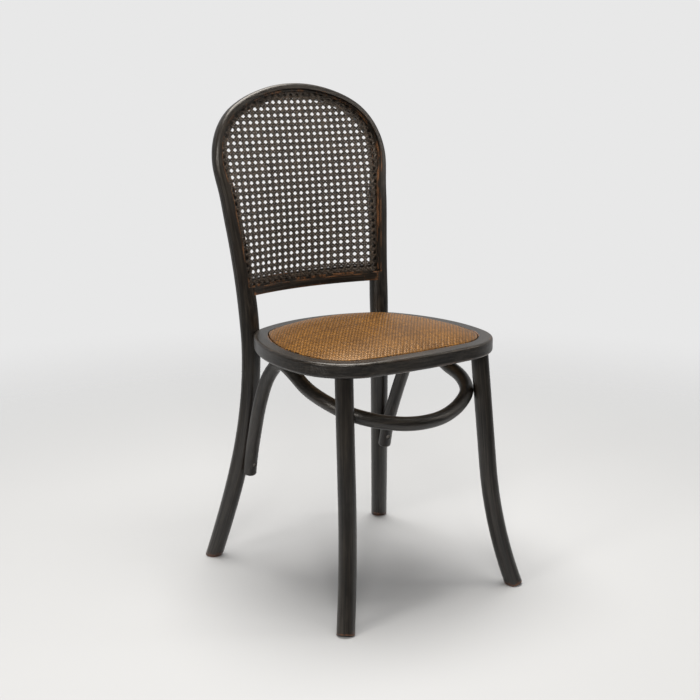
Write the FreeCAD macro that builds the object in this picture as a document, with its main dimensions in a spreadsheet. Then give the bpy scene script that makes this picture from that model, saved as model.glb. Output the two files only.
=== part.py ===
import FreeCAD, Part
import Sketcher
import math
import os

# Bentwood side chair: a round seat ring on four bent legs, the rear pair running up in one
# piece round an arched back that holds a sheet of cane.  Front is -Y, right is +X, floor is z = 0.

Vector = FreeCAD.Vector
Rotation = FreeCAD.Rotation
Placement = FreeCAD.Placement
X_AXIS, Y_AXIS, Z_AXIS = Vector(1, 0, 0), Vector(0, 1, 0), Vector(0, 0, 1)

doc = FreeCAD.newDocument("bentwood_chair")
sheet = doc.addObject("Spreadsheet::Sheet", "Sizes")

SIZES = [
    # seat ring
    ("ring_top", 456, "top of the seat ring above the floor"),
    ("ring_thick", 26, "height of the bent seat ring"),
    ("ring_band", 52, "width of the ring's section"),
    ("rim_band", 26, "width of the rim that shows round the woven seat"),
    ("rebate_deep", 9, "depth of the ledge that the seat drops onto"),
    ("ring_half", 207, "half of the ring's greatest width"),
    ("ring_front", 205, "front of the ring ahead of the origin"),
    ("ring_back", 167, "back of the ring behind the origin"),
    ("widest_ahead", 54, "how far ahead of the origin the ring is widest"),
    ("front_arc", 980, "radius of the front edge"),
    ("front_corner", 108, "radius of the front corners"),
    ("side_arc", 305, "radius of the sides"),
    ("back_corner", 87, "radius of the back corners"),
    ("back_arc", 280, "radius of the back edge"),
    ("ring_round", 5, "rounding of the ring's outer edges"),
    ("rim_round", 2, "rounding of the rim's inner edge"),
    # woven seat
    ("seat_gap", 1.5, "gap between the rim and the woven seat"),
    ("cover_thick", 1.4, "thickness of the woven cover"),
    ("board_thick", 6, "thickness of the plywood seat board"),
    ("cover_turn", 14, "width of the cover turned under the board"),
    ("crown_rise", 22, "rise of the woven crown above the ring"),
    # front legs
    ("leg_dia", 31.5, "diameter of the front legs"),
    ("leg_top_side", 146.7, "front leg centre at the ring, to the side"),
    ("leg_top_ahead", 162, "front leg centre at the ring, ahead"),
    ("leg_lean_side", 2.3, "lean of the front leg to the side, degrees"),
    ("leg_lean_ahead", 5.8, "lean of the front leg forward, degrees"),
    ("leg_straight", 206, "straight length of the front leg under the ring"),
    ("leg_bend", 855, "bend radius of the front leg's lower part"),
    ("flare_turn", 41, "direction of that bend from the side, degrees"),
    ("tenon_dia", 22, "diameter of the front leg's tenon"),
    ("tenon_long", 14, "length of the front leg's tenon"),
    ("foot_round", 4, "rounding of the front feet"),
    # rear legs and back hoop, one bent piece
    ("rear_foot_dia", 32, "diameter of the rear feet"),
    ("rear_foot_ease", 3, "how far the rear feet's edges are eased"),
    ("rear_seat_dia", 35, "diameter of the rear legs at the seat"),
    ("hoop_wide", 32, "width of the back hoop's section above the rail"),
    ("hoop_deep", 25, "depth of the back hoop's section above the rail"),
    ("crown_wide", 25.5, "width of the hoop's section at the crown"),
    ("crown_deep", 23.5, "depth of the hoop's section at the crown"),
    ("hoop_half", 175, "half width of the hoop's centre line at the shoulders"),
    ("shoulder_up", 756.5, "height of the shoulders"),
    ("shoulder_arc", 107, "radius of the shoulders"),
    ("apex_up", 880, "height of the hoop's centre line at the crown"),
    ("ledge_wide", 14, "width of the rebate that holds the cane"),
    ("ledge_deep", 11, "depth of that rebate behind the front of the hoop"),
    # lower rail of the back and cane
    ("rail_up", 517, "underside of the back's lower rail"),
    ("rail_high", 30, "height of that rail"),
    ("rail_lip", 15, "height of the rail's front lip under the cane"),
    ("rail_deep", 22, "depth of that rail"),
    ("rail_bow", 25.8, "how far the rail bows back in the middle"),
    ("rail_lean", 3.4, "lean of the rail, degrees"),
    ("cane_thick", 1.5, "thickness of the woven cane"),
    ("cane_lift", 0.8, "clearance between the cane and the floor of its rebate"),
    ("cane_flat_up", 858, "height at which the cane's bow has run out"),
    ("strip_wide", 3.5, "width of the strip that wedges the cane"),
    ("strip_thick", 2.6, "thickness of that strip"),
    ("dowel_dia", 10, "diameter of the rail's dowels"),
    ("dowel_long", 40, "length of the rail's dowels"),
    # brace
    ("brace_dia", 25, "diameter of the bent brace"),
    ("brace_round", 4, "rounding of the brace's ends"),
    ("screw_sink", 2.5, "depth of the counterbores for the brace's screws"),
    ("end_screw_up", 200, "height of the screws through the brace's ends"),
    # fastenings
    ("bolt_dia", 6, "shank diameter of the seat bolts"),
    ("bolt_long", 64, "length of the seat bolts under the head"),
    ("bolt_up", 438, "height of the seat bolts"),
    ("bolt_sink", 6, "depth of the seat bolts' counterbore"),
    ("hex_flats", 10, "width of the bolt head across its flats"),
    ("hex_high", 4, "height of the bolt head"),
    ("washer_dia", 16, "diameter of the bolt washer"),
    ("washer_thick", 1.5, "thickness of the bolt washer"),
    ("screw_dia", 4, "shank diameter of the wood screws"),
    ("screw_head", 8, "head diameter of the wood screws"),
    ("screw_long", 38, "length of the brace's wood screws"),
    ("board_screw_long", 13, "length of the seat board's screws"),
    ("fit", 0.3, "clearance where a piece drops into another"),
]
for row, (alias, value, note) in enumerate(SIZES, 1):
    sheet.set("A%d" % row, note)
    sheet.set("B%d" % row, str(value))
    sheet.setAlias("B%d" % row, alias)
doc.recompute()


def size(alias):
    return float(sheet.get(alias))


def bind(target, path, formula):
    """Ties one property to the sheet; every alias in the formula is written as $alias."""
    target.setExpression(path, formula.replace("$", "Sizes."))


# Helpers for solids drawn as sketches

def new_body(label):
    body = doc.addObject("PartDesign::Body", label)
    body.Label = label
    return body


def plane_of(body, role):
    return [item for item in body.Origin.OriginFeatures if item.Role == role][0]


def new_sketch(body, name, role="XY_Plane", offset=None):
    sketch = body.newObject("Sketcher::SketchObject", name)
    sketch.AttachmentSupport = (plane_of(body, role), [""])
    sketch.MapMode = "FlatFace"
    if offset:
        sketch.AttachmentOffset = offset
    return sketch


def add_circle(sketch, centre, dia_formula, rough):
    index = sketch.addGeometry(Part.Circle(centre, Z_AXIS, rough), False)
    at = sketch.addConstraint(Sketcher.Constraint("Diameter", index, 2 * rough))
    bind(sketch, "Constraints[%d]" % at, dia_formula)
    sketch.addConstraint(Sketcher.Constraint("Block", index))
    return index


def add_polygon(sketch, points):
    for start, end in zip(points, points[1:] + points[:1]):
        sketch.addGeometry(Part.LineSegment(Vector(*start, 0), Vector(*end, 0)), False)


def pad(body, sketch, length, reversed_way=False):
    feature = body.newObject("PartDesign::Pad", sketch.Name + "_pad")
    feature.Profile = sketch
    feature.Reversed = reversed_way
    bind(feature, "Length", length)
    return feature


def pocket(body, sketch, length, reversed_way=False):
    doc.recompute()
    before = body.Shape.Volume
    feature = body.newObject("PartDesign::Pocket", sketch.Name + "_pocket")
    feature.Profile = sketch
    feature.Reversed = reversed_way
    bind(feature, "Length", length)
    doc.recompute()
    assert body.Shape.Volume < before - 1e-3, sketch.Name + " cuts nothing"
    return feature


def fillet(body, radius, wanted):
    """Rounds the edges of the body's tip that the test accepts."""
    doc.recompute()
    base = body.Tip
    names = ["Edge%d" % (i + 1) for i, edge in enumerate(base.Shape.Edges) if wanted(edge)]
    feature = body.newObject("PartDesign::Fillet", base.Name + "_round")
    feature.Base = (base, names)
    bind(feature, "Radius", radius)
    doc.recompute()
    return feature


def at_height(edge, height):
    box = edge.BoundBox
    return abs(box.ZMin - height) < 1e-3 and abs(box.ZMax - height) < 1e-3


# Plan of the seat: a front, two sides and a back, all slightly bowed, with rounded corners.
# Every inner line of the ring and the seat is this outline moved inward.

def circle_meeting(c1, r1, c2, r2, way):
    """Where two circles cross, on the +X side, ahead (way -1) or behind (way 1)."""
    between = c2 - c1
    reach = between.Length
    along = (r1 * r1 - r2 * r2 + reach * reach) / (2 * reach)
    off = math.sqrt(r1 * r1 - along * along)
    unit = between * (1 / reach)
    side = Vector(-unit.y, unit.x, 0) * off
    found = [c1 + unit * along + side, c1 + unit * along - side]
    return max(found, key=lambda point: way * point.y)


FRONT_C = Vector(0, size("front_arc") - size("ring_front"), 0)
BACK_C = Vector(0, size("ring_back") - size("back_arc"), 0)
SIDE_C = Vector(size("ring_half") - size("side_arc"), -size("widest_ahead"), 0)
FRONT_CORNER_C = circle_meeting(
    FRONT_C, size("front_arc") - size("front_corner"),
    SIDE_C, size("side_arc") - size("front_corner"), -1)
BACK_CORNER_C = circle_meeting(
    BACK_C, size("back_arc") - size("back_corner"),
    SIDE_C, size("side_arc") - size("back_corner"), 1)


def flip(point):
    return Vector(-point.x, point.y, point.z)


def bearing(centre, point):
    return math.atan2(point.y - centre.y, point.x - centre.x)


def seat_arcs(inset):
    """The outline's eight arcs, counterclockwise from the front: centre, radius, two angles."""
    turn = [bearing(FRONT_C, FRONT_CORNER_C), bearing(SIDE_C, FRONT_CORNER_C),
            bearing(SIDE_C, BACK_CORNER_C), bearing(BACK_C, BACK_CORNER_C)]
    back = [math.pi - angle for angle in turn]
    rows = [
        (FRONT_C, "front_arc", back[0], turn[0] + 2 * math.pi),
        (FRONT_CORNER_C, "front_corner", turn[0], turn[1]),
        (SIDE_C, "side_arc", turn[1], turn[2]),
        (BACK_CORNER_C, "back_corner", turn[2], turn[3]),
        (BACK_C, "back_arc", turn[3], back[3]),
        (flip(BACK_CORNER_C), "back_corner", back[3], back[2]),
        (flip(SIDE_C), "side_arc", back[2], back[1]),
        (flip(FRONT_CORNER_C), "front_corner", back[1], back[0]),
    ]
    return [(centre, alias, size(alias) - inset, start, end) for centre, alias, start, end in rows]


def seat_wire(inset, height, shrink=1.0):
    """The outline as a wire at a height, moved inward and then shrunk towards its middle."""
    middle = Vector(0, (size("ring_back") - size("ring_front")) / 2, 0)
    edges = []
    for centre, alias, radius, start, end in seat_arcs(inset):
        centre = middle + (centre - middle) * shrink
        centre.z = height
        circle = Part.Circle(centre, Z_AXIS, radius * shrink)
        edges.append(Part.ArcOfCircle(circle, start, end).toShape())
    return Part.Wire(Part.__sortEdges__(edges))


def add_outline(sketch, inset, formula):
    """Draws the outline in a sketch, tied to the sheet by its radii and its arcs' centres."""
    first = len(sketch.Geometry)
    for centre, alias, radius, start, end in seat_arcs(inset):
        sketch.addGeometry(Part.ArcOfCircle(Part.Circle(centre, Z_AXIS, radius), start, end), False)
    for i, (centre, alias, radius, start, end) in enumerate(seat_arcs(inset)):
        sketch.addConstraint(Sketcher.Constraint("Tangent", first + i, 2, first + (i + 1) % 8, 1))
        at = sketch.addConstraint(Sketcher.Constraint("Radius", first + i, radius))
        bind(sketch, "Constraints[%d]" % at, "$%s - (%s)" % (alias, formula))
    for i, gap, words in ((0, FRONT_C.y, "$front_arc - $ring_front"),
                          (4, -BACK_C.y, "$back_arc - $ring_back")):
        ends = (-1, 1, first + i, 3) if i == 0 else (first + i, 3, -1, 1)
        sketch.addConstraint(Sketcher.Constraint("PointOnObject", first + i, 3, -2))
        at = sketch.addConstraint(Sketcher.Constraint("DistanceY", *ends, gap))
        bind(sketch, "Constraints[%d]" % at, words)
    for i, ends in ((2, (first + 2, 3, -1, 1)), (6, (-1, 1, first + 6, 3))):
        at = sketch.addConstraint(Sketcher.Constraint("DistanceX", *ends, -SIDE_C.x))
        bind(sketch, "Constraints[%d]" % at, "$side_arc - $ring_half")
        at = sketch.addConstraint(Sketcher.Constraint("DistanceY", first + i, 3, -1, 1, -SIDE_C.y))
        bind(sketch, "Constraints[%d]" % at, "$widest_ahead")


def level_sketch(body, name, height, formula):
    sketch = new_sketch(body, name, offset=Placement(Vector(0, 0, height), Rotation()))
    bind(sketch, "AttachmentOffset.Base.z", formula)
    return sketch


# Seat ring: one bent length closed on itself, with a ledge inside its rim for the seat

RING_TOP = size("ring_top")
RING_FOOT = RING_TOP - size("ring_thick")
ring = new_body("ring_blank")
plan = level_sketch(ring, "ring_plan", RING_FOOT, "$ring_top - $ring_thick")
add_outline(plan, 0, "0")
add_outline(plan, size("ring_band"), "$ring_band")
pad(ring, plan, "$ring_thick")
ledge = level_sketch(ring, "ring_ledge", RING_TOP, "$ring_top")
add_outline(ledge, size("rim_band"), "$rim_band")
pocket(ring, ledge, "$rebate_deep")
OUTER_RADII = [size(name) for name in
               ("front_arc", "front_corner", "side_arc", "back_corner", "back_arc")]


def on_outline(edge, inset):
    curve = edge.Curve
    return hasattr(curve, "Radius") and any(abs(curve.Radius + inset - r) < 1e-3 for r in OUTER_RADII)


fillet(ring, "$ring_round", lambda edge: on_outline(edge, 0) and
       (at_height(edge, RING_TOP) or at_height(edge, RING_FOOT)))
fillet(ring, "$rim_round", lambda edge: on_outline(edge, size("rim_band")) and
       at_height(edge, RING_TOP))
sockets = level_sketch(ring, "tenon_sockets", RING_FOOT, "$ring_top - $ring_thick")
for way in (1, -1):
    add_circle(sockets, Vector(way * size("leg_top_side"), -size("leg_top_ahead"), 0),
               "$tenon_dia", size("tenon_dia") / 2)
pocket(ring, sockets, "$tenon_long + $fit", True)

# Seat board: plywood that drops onto the ring's ledge inside the cover's turned edge

BOARD_INSET = size("rim_band") + size("seat_gap") + size("cover_thick")
BOARD_FOOT = RING_TOP - size("rebate_deep") + size("cover_thick")
BOARD_TOP = BOARD_FOOT + size("board_thick")
board = new_body("board_blank")
board_plan = level_sketch(board, "board_plan", BOARD_FOOT,
                          "$ring_top - $rebate_deep + $cover_thick")
add_outline(board_plan, BOARD_INSET, "$rim_band + $seat_gap + $cover_thick")
pad(board, board_plan, "$board_thick")

# Crown of the seat: a low dome that falls away faster towards its edge.  Its height at a share of
# the plan is one less a power of that share.

CROWN_POWER = 3.2
DOME = [(share, 1 - share ** CROWN_POWER) for share in (1, 0.93, 0.85, 0.75, 0.63, 0.5, 0.36, 0.22, 0.08)]


def dome(inset, foot, rim, top):
    """A closed dome with straight sides from foot to rim and its crown at top."""
    wires = [seat_wire(inset, rim + (top - rim) * rise, share) for share, rise in DOME]
    crown = Part.makeLoft(wires, True, False)
    skirt = Part.Face(seat_wire(inset, foot)).extrude(Vector(0, 0, rim - foot))
    return skirt.fuse(crown).removeSplitter()


CROWN_TOP = RING_TOP + size("crown_rise")
COVER_INSET = size("rim_band") + size("seat_gap")
LEDGE_UP = RING_TOP - size("rebate_deep")
PAD_RIM = BOARD_TOP + 1
pad_solid = dome(BOARD_INSET, BOARD_TOP, PAD_RIM, CROWN_TOP - size("cover_thick"))
pad_piece = doc.addObject("Part::Feature", "seat_pad")
pad_piece.Shape = pad_solid

cover_outer = dome(COVER_INSET, LEDGE_UP, PAD_RIM + size("cover_thick"), CROWN_TOP)
board_space = Part.Face(seat_wire(BOARD_INSET, BOARD_FOOT)).extrude(Z_AXIS * size("board_thick"))
under_opening = Part.Face(seat_wire(BOARD_INSET + size("cover_turn"), LEDGE_UP)).extrude(
    Z_AXIS * size("cover_thick"))
cover_blank = doc.addObject("Part::Feature", "cover_blank")
cover_blank.Shape = cover_outer.cut([pad_solid, board_space, under_opening])

# Front legs: round, straight under the ring and bent outward below, with a turned tenon on top

LEG_OVER = 8
TRIM_ROOM = 90


def front_leg(label, way):
    """The path lies in the plane of the leg's own lean and its outward bend."""
    side = math.tan(math.radians(size("leg_lean_side")))
    ahead = math.tan(math.radians(size("leg_lean_ahead")))
    turn = math.radians(size("flare_turn"))
    up = Vector(-way * side, ahead, 1).normalize()
    out = Vector(way * math.cos(turn), -math.sin(turn), 0)
    out = (out - up * out.dot(up)).normalize()
    top = Vector(way * size("leg_top_side"), -size("leg_top_ahead"), RING_FOOT)
    leg = new_body(label)
    path = new_sketch(leg, label + "_path",
                      offset=Placement(top, Rotation(out, up, out.cross(up), "ZXY")))
    straight = size("leg_straight")
    bend = size("leg_bend")
    sweep = (RING_FOOT - straight + LEG_OVER) / bend
    path.addGeometry(Part.LineSegment(Vector(0, LEG_OVER, 0), Vector(0, -straight, 0)), False)
    circle = Part.Circle(Vector(bend, -straight, 0), Z_AXIS, bend)
    path.addGeometry(Part.ArcOfCircle(circle, math.pi, math.pi + sweep), False)
    path.addConstraint(Sketcher.Constraint("Tangent", 0, 2, 1, 1))
    at = path.addConstraint(Sketcher.Constraint("Radius", 1, bend))
    bind(path, "Constraints[%d]" % at, "$leg_bend")
    across = up.cross(out)
    start = top + up * LEG_OVER
    section = new_sketch(leg, label + "_section",
                         offset=Placement(start, Rotation(out, across, up * -1, "ZXY")))
    add_circle(section, Vector(), "$leg_dia", size("leg_dia") / 2)
    pipe = leg.newObject("PartDesign::AdditivePipe", label + "_bend")
    pipe.Profile = section
    pipe.Spine = (path, [])
    doc.recompute()
    left, right, near, far = top.x - TRIM_ROOM, top.x + TRIM_ROOM, top.y - TRIM_ROOM, top.y + TRIM_ROOM
    for height, name, reverse in ((RING_FOOT, "_shoulder", True), (0, "_sole", False)):
        trim = new_sketch(leg, label + name, offset=Placement(Vector(0, 0, height), Rotation()))
        add_polygon(trim, [(left, near), (right, near), (right, far), (left, far)])
        pocket(leg, trim, "$tenon_long + $leg_dia", reverse)
    tenon = level_sketch(leg, label + "_tenon", RING_FOOT, "$ring_top - $ring_thick")
    add_circle(tenon, Vector(top.x, top.y, 0), "$tenon_dia", size("tenon_dia") / 2)
    pad(leg, tenon, "$tenon_long")
    fillet(leg, "$foot_round", lambda edge: at_height(edge, 0))
    return leg


leg_right = front_leg("leg_right_blank", 1)
leg_left = front_leg("leg_left_blank", -1)

# Rear legs and back hoop.  The side view is one long curve, the front view a leg curve that runs
# into a shoulder arc and a crown arc; the piece follows both.  Measured stations in millimetres.

SIDE_VIEW = [(-30, 219.2), (0, 211), (108, 183), (217, 160), (325, 146), (434, 143.5), (546, 154.5),
             (650, 169.5), (756, 191), (827, 210), (890, 230)]
LEG_VIEW = [(-30, 203.7), (0, 197.7), (108, 177.2), (217, 160), (325, 149.3), (434, 146.5), (546, 151.5),
            (650, 161)]
SHOULDER_UP = size("shoulder_up")


def profile(points):
    """A smooth curve of height that can be asked for its value and its slope."""
    curve = Part.BSplineCurve()
    curve.interpolate(Points=[Vector(value, 0, up) for up, value in points],
                      Parameters=[float(up) for up, value in points])
    return curve


side_view = profile(SIDE_VIEW)
leg_view = profile(LEG_VIEW + [(727, 170.6), (SHOULDER_UP, size("hoop_half"))])
SHOULDER_C = size("hoop_half") - size("shoulder_arc")
RISE = size("apex_up") - SHOULDER_UP
CROWN_ARC = (SHOULDER_C ** 2 + RISE ** 2 - size("shoulder_arc") ** 2) / (
    2 * (RISE - size("shoulder_arc")))
CROWN_C = size("apex_up") - CROWN_ARC
MEET = math.atan2(SHOULDER_UP - CROWN_C, SHOULDER_C)


def set_back(up):
    return side_view.value(up).x


def back_slope(up):
    tangent = side_view.tangent(up)[0]
    return tangent.x / tangent.z


def blend(value, low, high):
    share = min(max((value - low) / (high - low), 0), 1)
    return share * share * (3 - 2 * share)


def half_stations(first_up, steps):
    """Front view of the right half from a height to the crown: x, z and the outward normal."""
    rows = []
    for i in range(steps):
        up = first_up + (SHOULDER_UP - first_up) * i / steps
        tangent = leg_view.tangent(up)[0]
        rows.append((leg_view.value(up).x, up, tangent.z, -tangent.x))
    for i in range(6):
        angle = MEET * i / 6
        rows.append((SHOULDER_C + size("shoulder_arc") * math.cos(angle),
                     SHOULDER_UP + size("shoulder_arc") * math.sin(angle),
                     math.cos(angle), math.sin(angle)))
    for i in range(4):
        angle = MEET + (math.pi / 2 - MEET) * i / 3
        rows.append((CROWN_ARC * math.cos(angle), CROWN_C + CROWN_ARC * math.sin(angle),
                     math.cos(angle), math.sin(angle)))
    return rows


def frame(x, up, out_x, out_z):
    """Centre, outward and forward directions of the hoop at one station."""
    slope = back_slope(up)
    forward = Vector(0, -1, slope).normalize()
    outward = Vector(out_x, slope * out_z, out_z)
    outward = (outward - forward * outward.dot(forward)).normalize()
    return Vector(x, set_back(up), up), outward, forward


def hoop_frames(first_up, steps):
    half = half_stations(first_up, steps)
    rows = [frame(*row) for row in half]
    mirror = [(flip(c), flip(o), f) for c, o, f in reversed(rows[:-1])]
    return rows + mirror


def hoop_section(up):
    """Width, depth and squareness of the section: round at the legs, squared above the rail."""
    low = min(up / RING_FOOT, 1)
    round_dia = size("rear_foot_dia") + (size("rear_seat_dia") - size("rear_foot_dia")) * low
    squared = blend(up, RING_TOP, size("rail_up") + 25)
    crown = blend(up, 650, SHOULDER_UP + 40)
    wide = size("hoop_wide") + (size("crown_wide") - size("hoop_wide")) * crown
    deep = size("hoop_deep") + (size("crown_deep") - size("hoop_deep")) * crown
    return (round_dia + (wide - round_dia) * squared, round_dia + (deep - round_dia) * squared,
            2 + 2.2 * squared)


SECTION_POINTS = 24


def section_points(station):
    """A closed ring of points between a circle and a rounded rectangle about one station."""
    centre, outward, forward = station
    wide, deep, power = hoop_section(centre.z)
    points = []
    for i in range(SECTION_POINTS):
        angle = 2 * math.pi * (i + 0.5) / SECTION_POINTS
        c, s = math.cos(angle), math.sin(angle)
        reach = (abs(c) ** power + abs(s) ** power) ** (-1 / power)
        points.append(centre + outward * (wide / 2 * c * reach) + forward * (deep / 2 * s * reach))
    return points + points[:1]


def box_wire(station, low, high, back, front):
    """A rectangle about one station, from low to high outward and from back to front forward."""
    centre, outward, forward = station
    corners = [(low, back), (high, back), (high, front), (low, front), (low, back)]
    return Part.makePolygon([centre + outward * e + forward * n for e, n in corners])


# The bent length starts below the floor; a turned cutter then levels and eases each foot

FOOT_SPARE = 24
rings = [section_points(station) for station in hoop_frames(-FOOT_SPARE, 17)]
hoop_skin = Part.BSplineSurface()
hoop_skin.interpolate(rings)
hoop_skin = hoop_skin.toShape()
ends = [Part.Face(Part.Wire(edge)) for edge in hoop_skin.Edges if edge.isClosed()]
hoop_shell = Part.Shell([hoop_skin] + ends)
hoop_shell.sewShape()
hoop_solid = Part.Solid(hoop_shell)

EASE = size("rear_foot_ease")
FOOT_R = size("rear_foot_dia") / 2 + 0.4
EASE_TOP = EASE * 7 / 3
CUTTER_R, CUTTER_DEEP = 40, 50
cutter_profile = [(0, 0), (FOOT_R - EASE, 0), (FOOT_R - EASE / 3, EASE / 3), (FOOT_R + EASE / 3, EASE_TOP),
                  (CUTTER_R, EASE_TOP), (CUTTER_R, -CUTTER_DEEP), (0, -CUTTER_DEEP), (0, 0)]
cutter = Part.Face(Part.makePolygon([Vector(r, 0, z) for r, z in cutter_profile]))
cutter = cutter.revolve(Vector(), Z_AXIS, 360)
foot_cutters = []
for way in (1, -1):
    tool = cutter.copy()
    tool.translate(Vector(way * leg_view.value(0).x, set_back(0), 0))
    foot_cutters.append(tool)

# The rebate for the cane runs up one side, over the crown and down the other

REBATE_UP = size("rail_up") + size("rail_lip")
arch_path = hoop_frames(REBATE_UP, 6)
rebate_wires = []
for station in arch_path:
    wide, deep, power = hoop_section(station[0].z)
    rebate_wires.append(box_wire(station, -wide / 2 - 6, -wide / 2 + size("ledge_wide"),
                                 deep / 2 - size("ledge_deep"), deep / 2 + 6))
rebate_tool = Part.makeLoft(rebate_wires, True, False)
ring_seat = Part.Face(seat_wire(0, RING_FOOT)).extrude(Z_AXIS * size("ring_thick"))
hoop_blank = doc.addObject("Part::Feature", "hoop_blank")
hoop_blank.Shape = hoop_solid.cut([rebate_tool, ring_seat] + foot_cutters)


# Lower rail of the back: bowed backward so that the cane cups the sitter's back

FACE_AHEAD = size("hoop_deep") / 2
RAIL_FRONT = set_back(REBATE_UP) - FACE_AHEAD
INNER_HALF = leg_view.value(REBATE_UP).x - size("hoop_wide") / 2
BOW_ARC = (INNER_HALF ** 2 + size("rail_bow") ** 2) / (2 * size("rail_bow"))
BOW_C = Vector(0, RAIL_FRONT + size("rail_bow") - BOW_ARC, 0)
RAIL_TILT = Placement(Vector(0, RAIL_FRONT, REBATE_UP), Rotation(X_AXIS, -size("rail_lean")),
                      Vector()).multiply(Placement(Vector(0, -RAIL_FRONT, -REBATE_UP), Rotation()))


def bow_band(body, name, height, formula, near, far, half):
    """A level sketch between two arcs of the bow, near and far from its centre."""
    sketch = level_sketch(body, name, height, formula)
    angles = [math.acos(half / radius) for radius in (near, far)]
    for radius, angle in zip((near, far), angles):
        circle = Part.Circle(BOW_C, Z_AXIS, radius)
        sketch.addGeometry(Part.ArcOfCircle(circle, angle, math.pi - angle), False)
    for way in (1, -1):
        ends = [BOW_C + Vector(way * half, radius * math.sin(angle), 0)
                for radius, angle in zip((near, far), angles)]
        sketch.addGeometry(Part.LineSegment(*ends), False)
    sketch.addConstraint(Sketcher.Constraint("Coincident", 0, 1, 2, 1))
    sketch.addConstraint(Sketcher.Constraint("Coincident", 1, 1, 2, 2))
    sketch.addConstraint(Sketcher.Constraint("Coincident", 0, 2, 3, 1))
    sketch.addConstraint(Sketcher.Constraint("Coincident", 1, 2, 3, 2))
    return sketch


rail = new_body("rail_blank")
RAIL_REACH = INNER_HALF + 5
rail_plan = bow_band(rail, "rail_plan", size("rail_up"), "$rail_up",
                     BOW_ARC, BOW_ARC + size("rail_deep"), RAIL_REACH)
pad(rail, rail_plan, "$rail_high")
rail_ledge = bow_band(rail, "rail_ledge", size("rail_up") + size("rail_high"),
                      "$rail_up + $rail_high", BOW_ARC - 5, BOW_ARC + size("ledge_deep"),
                      RAIL_REACH + 1)
pocket(rail, rail_ledge, "$rail_high - $rail_lip")
fillet(rail, "$rim_round", lambda edge: hasattr(edge.Curve, "Radius") and
       at_height(edge, size("rail_up")))
rail.Placement = RAIL_TILT

strip_rail = new_body("cane_strip_rail")
STRIP_FAR = BOW_ARC + size("ledge_deep") - 2 * size("cane_lift") - size("cane_thick")
strip_plan = bow_band(strip_rail, "strip_plan", REBATE_UP + size("fit"),
                      "$rail_up + $rail_lip + $fit", STRIP_FAR - size("strip_thick"), STRIP_FAR,
                      INNER_HALF - size("cane_lift"))
pad(strip_rail, strip_plan, "$strip_wide")
strip_rail.Placement = RAIL_TILT

# Cane: one thin sheet that follows the hoop's rebate and, lower down, the rail's bow

def inner_half(up):
    return leg_view.value(min(up, SHOULDER_UP)).x - hoop_section(min(up, SHOULDER_UP))[0] / 2


def cane_back(x, up):
    """Set-back of the cane's rear face."""
    wide, deep, power = hoop_section(up)
    ledge = set_back(up) - (deep / 2 - size("ledge_deep")) * math.hypot(1, back_slope(up))
    left = max(size("cane_flat_up") - up, 0) / (size("cane_flat_up") - REBATE_UP)
    share = min(abs(x) / inner_half(up), 1)
    return ledge - size("cane_lift") + size("rail_bow") * left * (1 - share * share)


CANE_SHARES = [0, 0.25, 0.5, 0.7, 0.85, 0.95, 1.0, 1.06, 1.14]
grid = []
for i in range(12):
    up = REBATE_UP - 6 + (size("apex_up") + 14 - REBATE_UP) * i / 11
    shares = [-share for share in CANE_SHARES[:0:-1]] + CANE_SHARES
    grid.append([Vector(share * inner_half(up), cane_back(share * inner_half(up), up), up)
                 for share in shares])
cane_face = Part.BSplineSurface()
cane_face.interpolate(grid)
cane_slab = cane_face.toShape().extrude(Vector(0, -size("cane_thick"), 0))


def wall_point(station, inward):
    """A point on the rebate's wall, moved inward."""
    centre, outward, forward = station
    wide, deep, power = hoop_section(centre.z)
    return centre + outward * (size("ledge_wide") - wide / 2 - inward)


cane_edge = [wall_point(station, size("fit") * 2) for station in arch_path]
for point in cane_edge:
    point.y = 0
cane_edge[0].z = cane_edge[-1].z = REBATE_UP + size("fit") * 2
arch_curve = Part.BSplineCurve()
arch_curve.interpolate(Points=cane_edge)
cane_outline = Part.Wire([arch_curve.toShape(),
                          Part.LineSegment(cane_edge[-1], cane_edge[0]).toShape()])
cane = doc.addObject("Part::Feature", "back_cane_panel")
cane.Shape = cane_slab.common(Part.Face(cane_outline).extrude(Vector(0, 300, 0)))

# Strip that wedges the cane's edge into the rebate, up the sides and over the crown

strip_wires = []
for station in hoop_frames(REBATE_UP + size("strip_wide") + 1, 6):
    wide, deep, power = hoop_section(station[0].z)
    outer_edge = size("ledge_wide") - wide / 2 - size("fit")
    seat = deep / 2 - size("ledge_deep") + size("cane_thick") + size("cane_lift") + 2 * size("fit")
    strip_wires.append(box_wire(station, outer_edge - size("strip_wide"), outer_edge,
                                seat, seat + size("strip_thick")))
strip_arch = doc.addObject("Part::Feature", "cane_strip_arch")
strip_arch.Shape = Part.makeLoft(strip_wires, True, False)

# Brace: one bent round rod.  From the rear legs it climbs to the ring, drops forward past the
# inside of the front legs and sweeps across the front.  Right half of its route:

BRACE_ROUTE = [(157, 137.8, 178), (157, 128.7, 222), (159, 109.5, 276), (161, 90, 326),
               (161, 62, 382), (158, 22, 422.7), (156, -20, 406), (154, -58, 386),
               (152, -106, 376), (132, -151.5, 360), (84, -181, 344), (30, -200, 336)]


def rounded_path(points, share):
    """Straight runs joined by tangent arcs, each as large as a share of its shorter run."""
    cuts = []
    for before, corner, after in zip(points, points[1:], points[2:]):
        a, b = (before - corner), (after - corner)
        reach = share * min(a.Length, b.Length) / 2
        start, end = corner + a.normalize() * reach, corner + b.normalize() * reach
        half = math.acos(max(-1.0, min(1.0, a.dot(b)))) / 2
        to_middle = (a + b).normalize()
        radius = reach * math.tan(half)
        middle = corner + to_middle * (radius / math.sin(half) - radius)
        cuts.append((start, middle, end))
    edges = []
    at = points[0]
    for start, middle, end in cuts:
        edges.append(Part.LineSegment(at, start).toShape())
        edges.append(Part.Arc(start, middle, end).toShape())
        at = end
    edges.append(Part.LineSegment(at, points[-1]).toShape())
    return Part.Wire(edges)


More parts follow.
